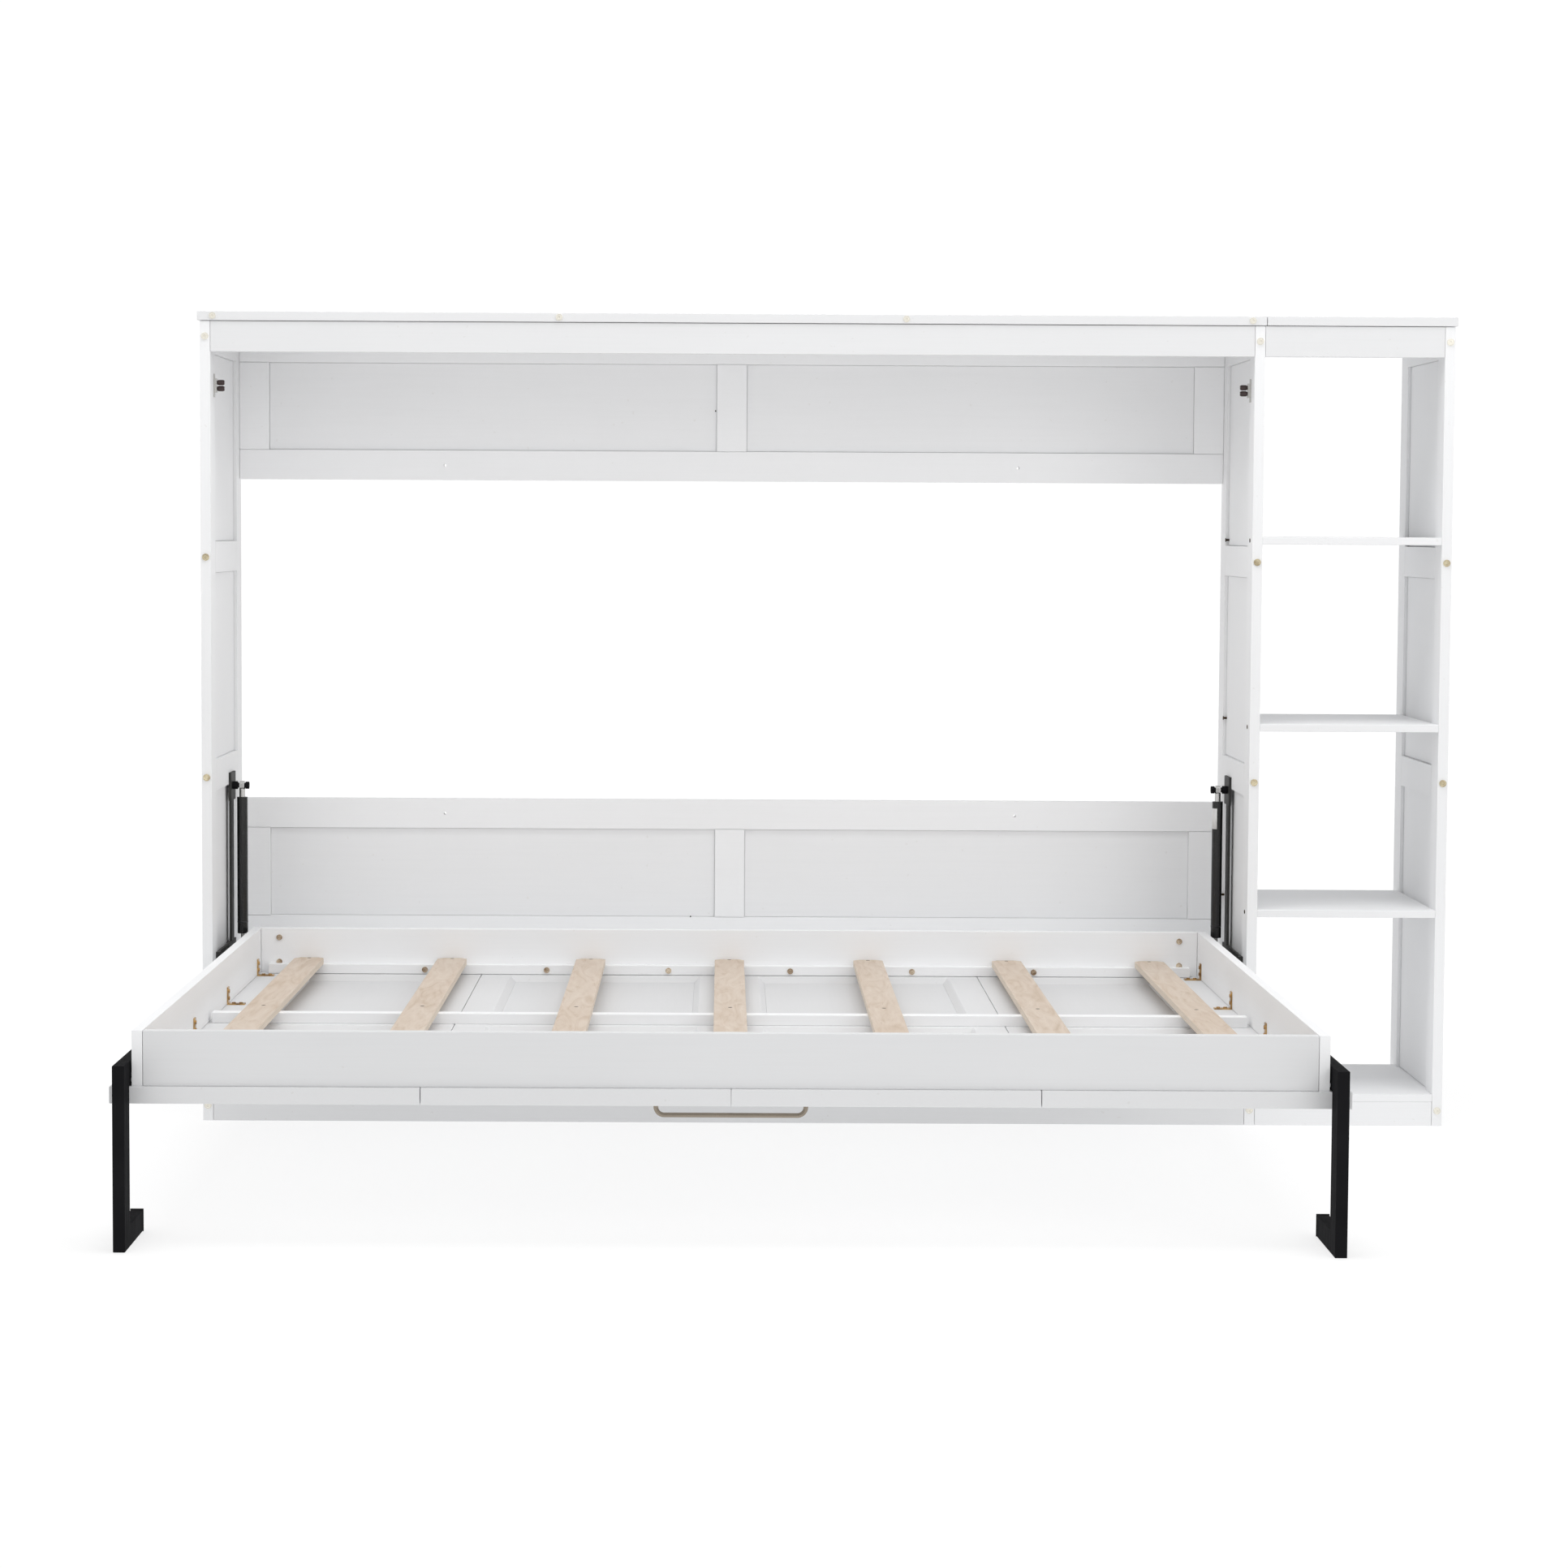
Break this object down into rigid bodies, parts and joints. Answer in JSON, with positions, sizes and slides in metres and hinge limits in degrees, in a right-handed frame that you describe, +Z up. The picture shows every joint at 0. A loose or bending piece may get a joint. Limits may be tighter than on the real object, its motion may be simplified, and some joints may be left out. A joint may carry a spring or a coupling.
{
  "type": "wall bed",
  "caption": "Side-tilting wall bed for a full-size mattress: white framed cabinet, slatted bed with panelled door, folding legs, gas struts and a side shelf unit.",
  "frame": {"origin": "on the floor at the wall line, midway between the bed cabinet's two sides", "axes": "+X to the right seen from the room, +Y to the wall, +Z up; the bed opens towards -Y"},
  "size_m": [2.484, 1.625, 1.608],
  "materials": {
    "white_paint": "satin cool-white paint over wood",
    "pine": "bare sanded plywood",
    "brass_bolts": "antique brass plating",
    "zinc_brackets": "yellow zinc plating",
    "black_steel": "satin black powder coat",
    "black_plastic": "matt black",
    "strut_black": "gloss black paint",
    "bright_steel": "bright zinc",
    "brown_plastic": "dark brown nylon",
    "handle_metal": "satin nickel bronze"
  },
  "bodies": {
    "cabinet": {"top_board": "white_paint", "top_fascia": "white_paint", "kick_board": "white_paint", "left_side_frame": "white_paint", "right_side_frame": "white_paint", "shelf_side_frame": "white_paint", "side_infills": "white_paint", "upper_back_frame": "white_paint", "upper_back_infills": "white_paint", "lower_back_frame": "white_paint", "lower_back_infills": "white_paint", "shelf_top_board": "white_paint", "shelf_fascia": "white_paint", "shelf_kick_board": "white_paint", "shelf_1": "white_paint", "shelf_2": "white_paint", "shelf_3": "white_paint", "shelf_4": "white_paint", "cabinet_bolts": "brass_bolts", "shelf_screws": "bright_steel", "hinge_plates": "black_steel", "hinge_plate_studs": "black_steel", "catch_brackets": "bright_steel"},
    "left_upper_roller": {"left_upper_roller": "brown_plastic"},
    "left_lower_roller": {"left_lower_roller": "brown_plastic"},
    "right_upper_roller": {"right_upper_roller": "brown_plastic"},
    "right_lower_roller": {"right_lower_roller": "brown_plastic"},
    "bed": {"door_section_1": "white_paint", "door_section_2": "white_paint", "door_section_3": "white_paint", "door_section_4": "white_paint", "door_infills": "white_paint", "left_end_board": "white_paint", "right_end_board": "white_paint", "front_rail": "white_paint", "rear_rail": "white_paint", "slat_cleats": "white_paint", "centre_beam": "white_paint", "slat_1": "pine", "slat_2": "pine", "slat_3": "pine", "slat_4": "pine", "slat_5": "pine", "slat_6": "pine", "slat_7": "pine", "slat_screws": "brass_bolts", "angle_brackets": "zinc_brackets", "bed_bolts": "brass_bolts", "pull_handle": "handle_metal", "bed_pivot_plates": "black_steel", "strike_tongues": "bright_steel", "leg_pivot_bolts": "bright_steel"},
    "left_leg": {"left_leg": "black_steel", "left_leg_cap": "black_plastic"},
    "right_leg": {"right_leg": "black_steel", "right_leg_cap": "black_plastic"},
    "left_strut_tube": {"left_strut_tube": "strut_black"},
    "left_strut_rod": {"left_strut_rod": "bright_steel"},
    "right_strut_tube": {"right_strut_tube": "strut_black"},
    "right_strut_rod": {"right_strut_rod": "bright_steel"}
  },
  "joints": [
    {"name": "bed_fold", "type": "hinge", "parent": "cabinet", "child": "bed", "pos_m": [0, -0.351, 0.301], "axis": [-1, 0, 0], "range_deg": [0, 90]},
    {"name": "left_leg_flip", "type": "hinge", "parent": "bed", "child": "left_leg", "pos_m": [-0.998, -1.315, 0.287], "axis": [-1, 0, 0], "range_deg": [0, 180]},
    {"name": "left_strut_swing", "type": "hinge", "parent": "cabinet", "child": "left_strut_tube", "pos_m": [-1.005, -0.17, 0.653], "axis": [-1, 0, 0], "range_deg": [0, 20]},
    {"name": "left_strut_slide", "type": "slide", "parent": "left_strut_tube", "child": "left_strut_rod", "axis": [0, 0, -1], "range_m": [0, 0.206]},
    {"name": "left_upper_roller_spin", "type": "hinge", "parent": "cabinet", "child": "left_upper_roller", "pos_m": [-1.016, -0.365, 1.47], "axis": [1, 0, 0], "continuous": true},
    {"name": "left_lower_roller_spin", "type": "hinge", "parent": "cabinet", "child": "left_lower_roller", "pos_m": [-1.016, -0.365, 1.458], "axis": [1, 0, 0], "continuous": true},
    {"name": "right_leg_flip", "type": "hinge", "parent": "bed", "child": "right_leg", "pos_m": [0.998, -1.315, 0.287], "axis": [-1, 0, 0], "range_deg": [0, 180]},
    {"name": "right_strut_swing", "type": "hinge", "parent": "cabinet", "child": "right_strut_tube", "pos_m": [1.005, -0.17, 0.653], "axis": [-1, 0, 0], "range_deg": [0, 20]},
    {"name": "right_strut_slide", "type": "slide", "parent": "right_strut_tube", "child": "right_strut_rod", "axis": [0, 0, -1], "range_m": [0, 0.206]},
    {"name": "right_upper_roller_spin", "type": "hinge", "parent": "cabinet", "child": "right_upper_roller", "pos_m": [1.016, -0.365, 1.47], "axis": [1, 0, 0], "continuous": true},
    {"name": "right_lower_roller_spin", "type": "hinge", "parent": "cabinet", "child": "right_lower_roller", "pos_m": [1.016, -0.365, 1.458], "axis": [1, 0, 0], "continuous": true}
  ],
  "couplings": [
    {"joint": "left_leg_flip", "follows": "bed_fold", "ratio": 2},
    {"joint": "left_strut_swing", "follows": "bed_fold", "ratio": 0.218},
    {"joint": "left_strut_slide", "follows": "bed_fold", "m_per_rad": 0.13041},
    {"joint": "right_leg_flip", "follows": "bed_fold", "ratio": 2},
    {"joint": "right_strut_swing", "follows": "bed_fold", "ratio": 0.218},
    {"joint": "right_strut_slide", "follows": "bed_fold", "m_per_rad": 0.13041}
  ]
}
